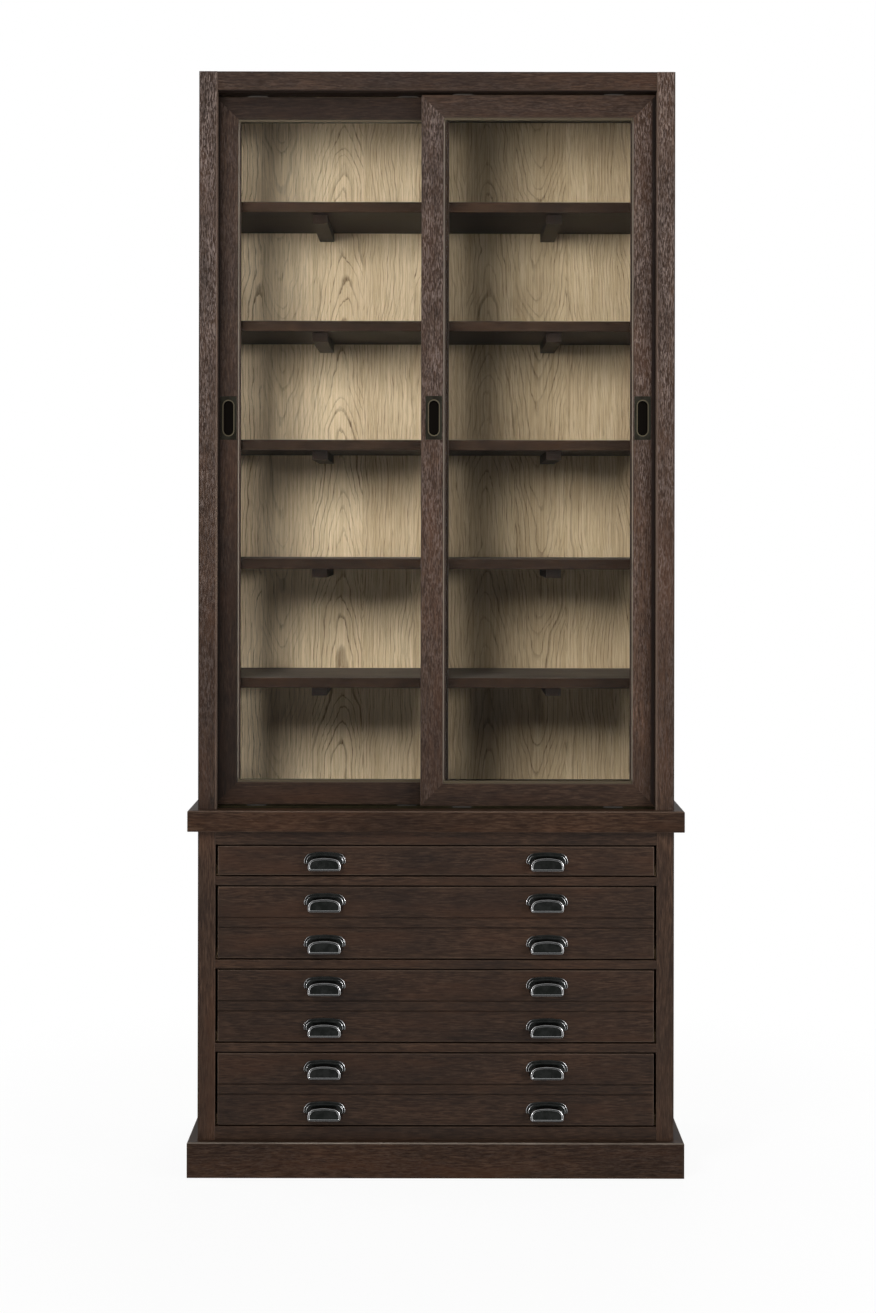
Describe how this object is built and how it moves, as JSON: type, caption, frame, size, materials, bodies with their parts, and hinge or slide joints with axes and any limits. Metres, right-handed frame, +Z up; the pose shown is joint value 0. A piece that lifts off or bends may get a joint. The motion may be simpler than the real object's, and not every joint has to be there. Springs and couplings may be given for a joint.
{
  "type": "storage cabinet",
  "caption": "Tall two-part wooden storage cabinet: glazed sliding doors over shelves, and inset drawers with cup pulls below a waist ledge.",
  "frame": {"origin": "centre of the footprint of the whole cabinet, on the floor", "axes": "+Z up, front faces -Y, +X to the right as seen from the front"},
  "size_m": [1.032, 0.445, 2.3],
  "materials": {
    "dark_wood": "dark espresso stain, satin lacquer",
    "limed_wood": "dark espresso stain with pale limed grain, satin lacquer",
    "oak_veneer": "pale oak veneer in vertical strips, matt lacquer",
    "box_wood": "plain secondary wood, sanded",
    "glass": "clear float glass",
    "pull_metal": "dark polished gunmetal plating",
    "flush_bronze": "dark bronze patina, satin",
    "track_brass": "aged brass, dark patina",
    "glide_nylon": "dark moulded nylon",
    "screw_steel": "zinc plated"
  },
  "bodies": {
    "carcass": {"plinth_front": "dark_wood", "plinth_sides": "dark_wood", "plinth_back": "dark_wood", "ledge_front": "dark_wood", "ledge_ends": "dark_wood", "ledge_back": "dark_wood", "ledge_panel": "dark_wood", "base_sides": "dark_wood", "base_stiles": "dark_wood", "base_top_rail": "dark_wood", "base_bottom_rail": "dark_wood", "drawer_rails": "dark_wood", "base_floor": "box_wood", "base_back": "box_wood", "drawer_runners": "box_wood", "drawer_guides": "box_wood", "shelves": "dark_wood", "shelf_battens": "dark_wood", "shelf_pins": "track_brass", "hutch_sides": "limed_wood", "hutch_divider": "limed_wood", "hutch_stiles": "limed_wood", "head_rail": "limed_wood", "hutch_top": "limed_wood", "hutch_floor": "limed_wood", "hutch_back": "oak_veneer", "lower_track": "track_brass", "upper_track": "dark_wood"},
    "left_door": {"left_door_stiles": "limed_wood", "left_door_rails": "limed_wood", "left_door_glides": "glide_nylon", "left_door_glass": "glass", "left_door_beads": "limed_wood", "left_door_pulls": "flush_bronze"},
    "right_door": {"right_door_stiles": "limed_wood", "right_door_rails": "limed_wood", "right_door_glides": "glide_nylon", "right_door_glass": "glass", "right_door_beads": "limed_wood", "right_door_pulls": "flush_bronze"},
    "drawer_1": {"drawer_1_front": "dark_wood", "drawer_1_box": "box_wood", "drawer_1_bottom": "box_wood", "drawer_1_pulls": "pull_metal", "drawer_1_pull_screws": "screw_steel"},
    "drawer_2": {"drawer_2_front": "dark_wood", "drawer_2_box": "box_wood", "drawer_2_bottom": "box_wood", "drawer_2_pulls": "pull_metal", "drawer_2_pull_screws": "screw_steel"},
    "drawer_3": {"drawer_3_front": "dark_wood", "drawer_3_box": "box_wood", "drawer_3_bottom": "box_wood", "drawer_3_pulls": "pull_metal", "drawer_3_pull_screws": "screw_steel"},
    "drawer_4": {"drawer_4_front": "dark_wood", "drawer_4_box": "box_wood", "drawer_4_bottom": "box_wood", "drawer_4_pulls": "pull_metal", "drawer_4_pull_screws": "screw_steel"}
  },
  "joints": [
    {"name": "left_door_slide", "type": "slide", "parent": "carcass", "child": "left_door", "axis": [1, 0, 0], "range_m": [0, 0.4375]},
    {"name": "right_door_slide", "type": "slide", "parent": "carcass", "child": "right_door", "axis": [1, 0, 0], "range_m": [-0.43, 0]},
    {"name": "drawer_1_slide", "type": "slide", "parent": "carcass", "child": "drawer_1", "axis": [0, -1, 0], "range_m": [0, 0.3]},
    {"name": "drawer_2_slide", "type": "slide", "parent": "carcass", "child": "drawer_2", "axis": [0, -1, 0], "range_m": [0, 0.3]},
    {"name": "drawer_3_slide", "type": "slide", "parent": "carcass", "child": "drawer_3", "axis": [0, -1, 0], "range_m": [0, 0.3]},
    {"name": "drawer_4_slide", "type": "slide", "parent": "carcass", "child": "drawer_4", "axis": [0, -1, 0], "range_m": [0, 0.3]}
  ]
}
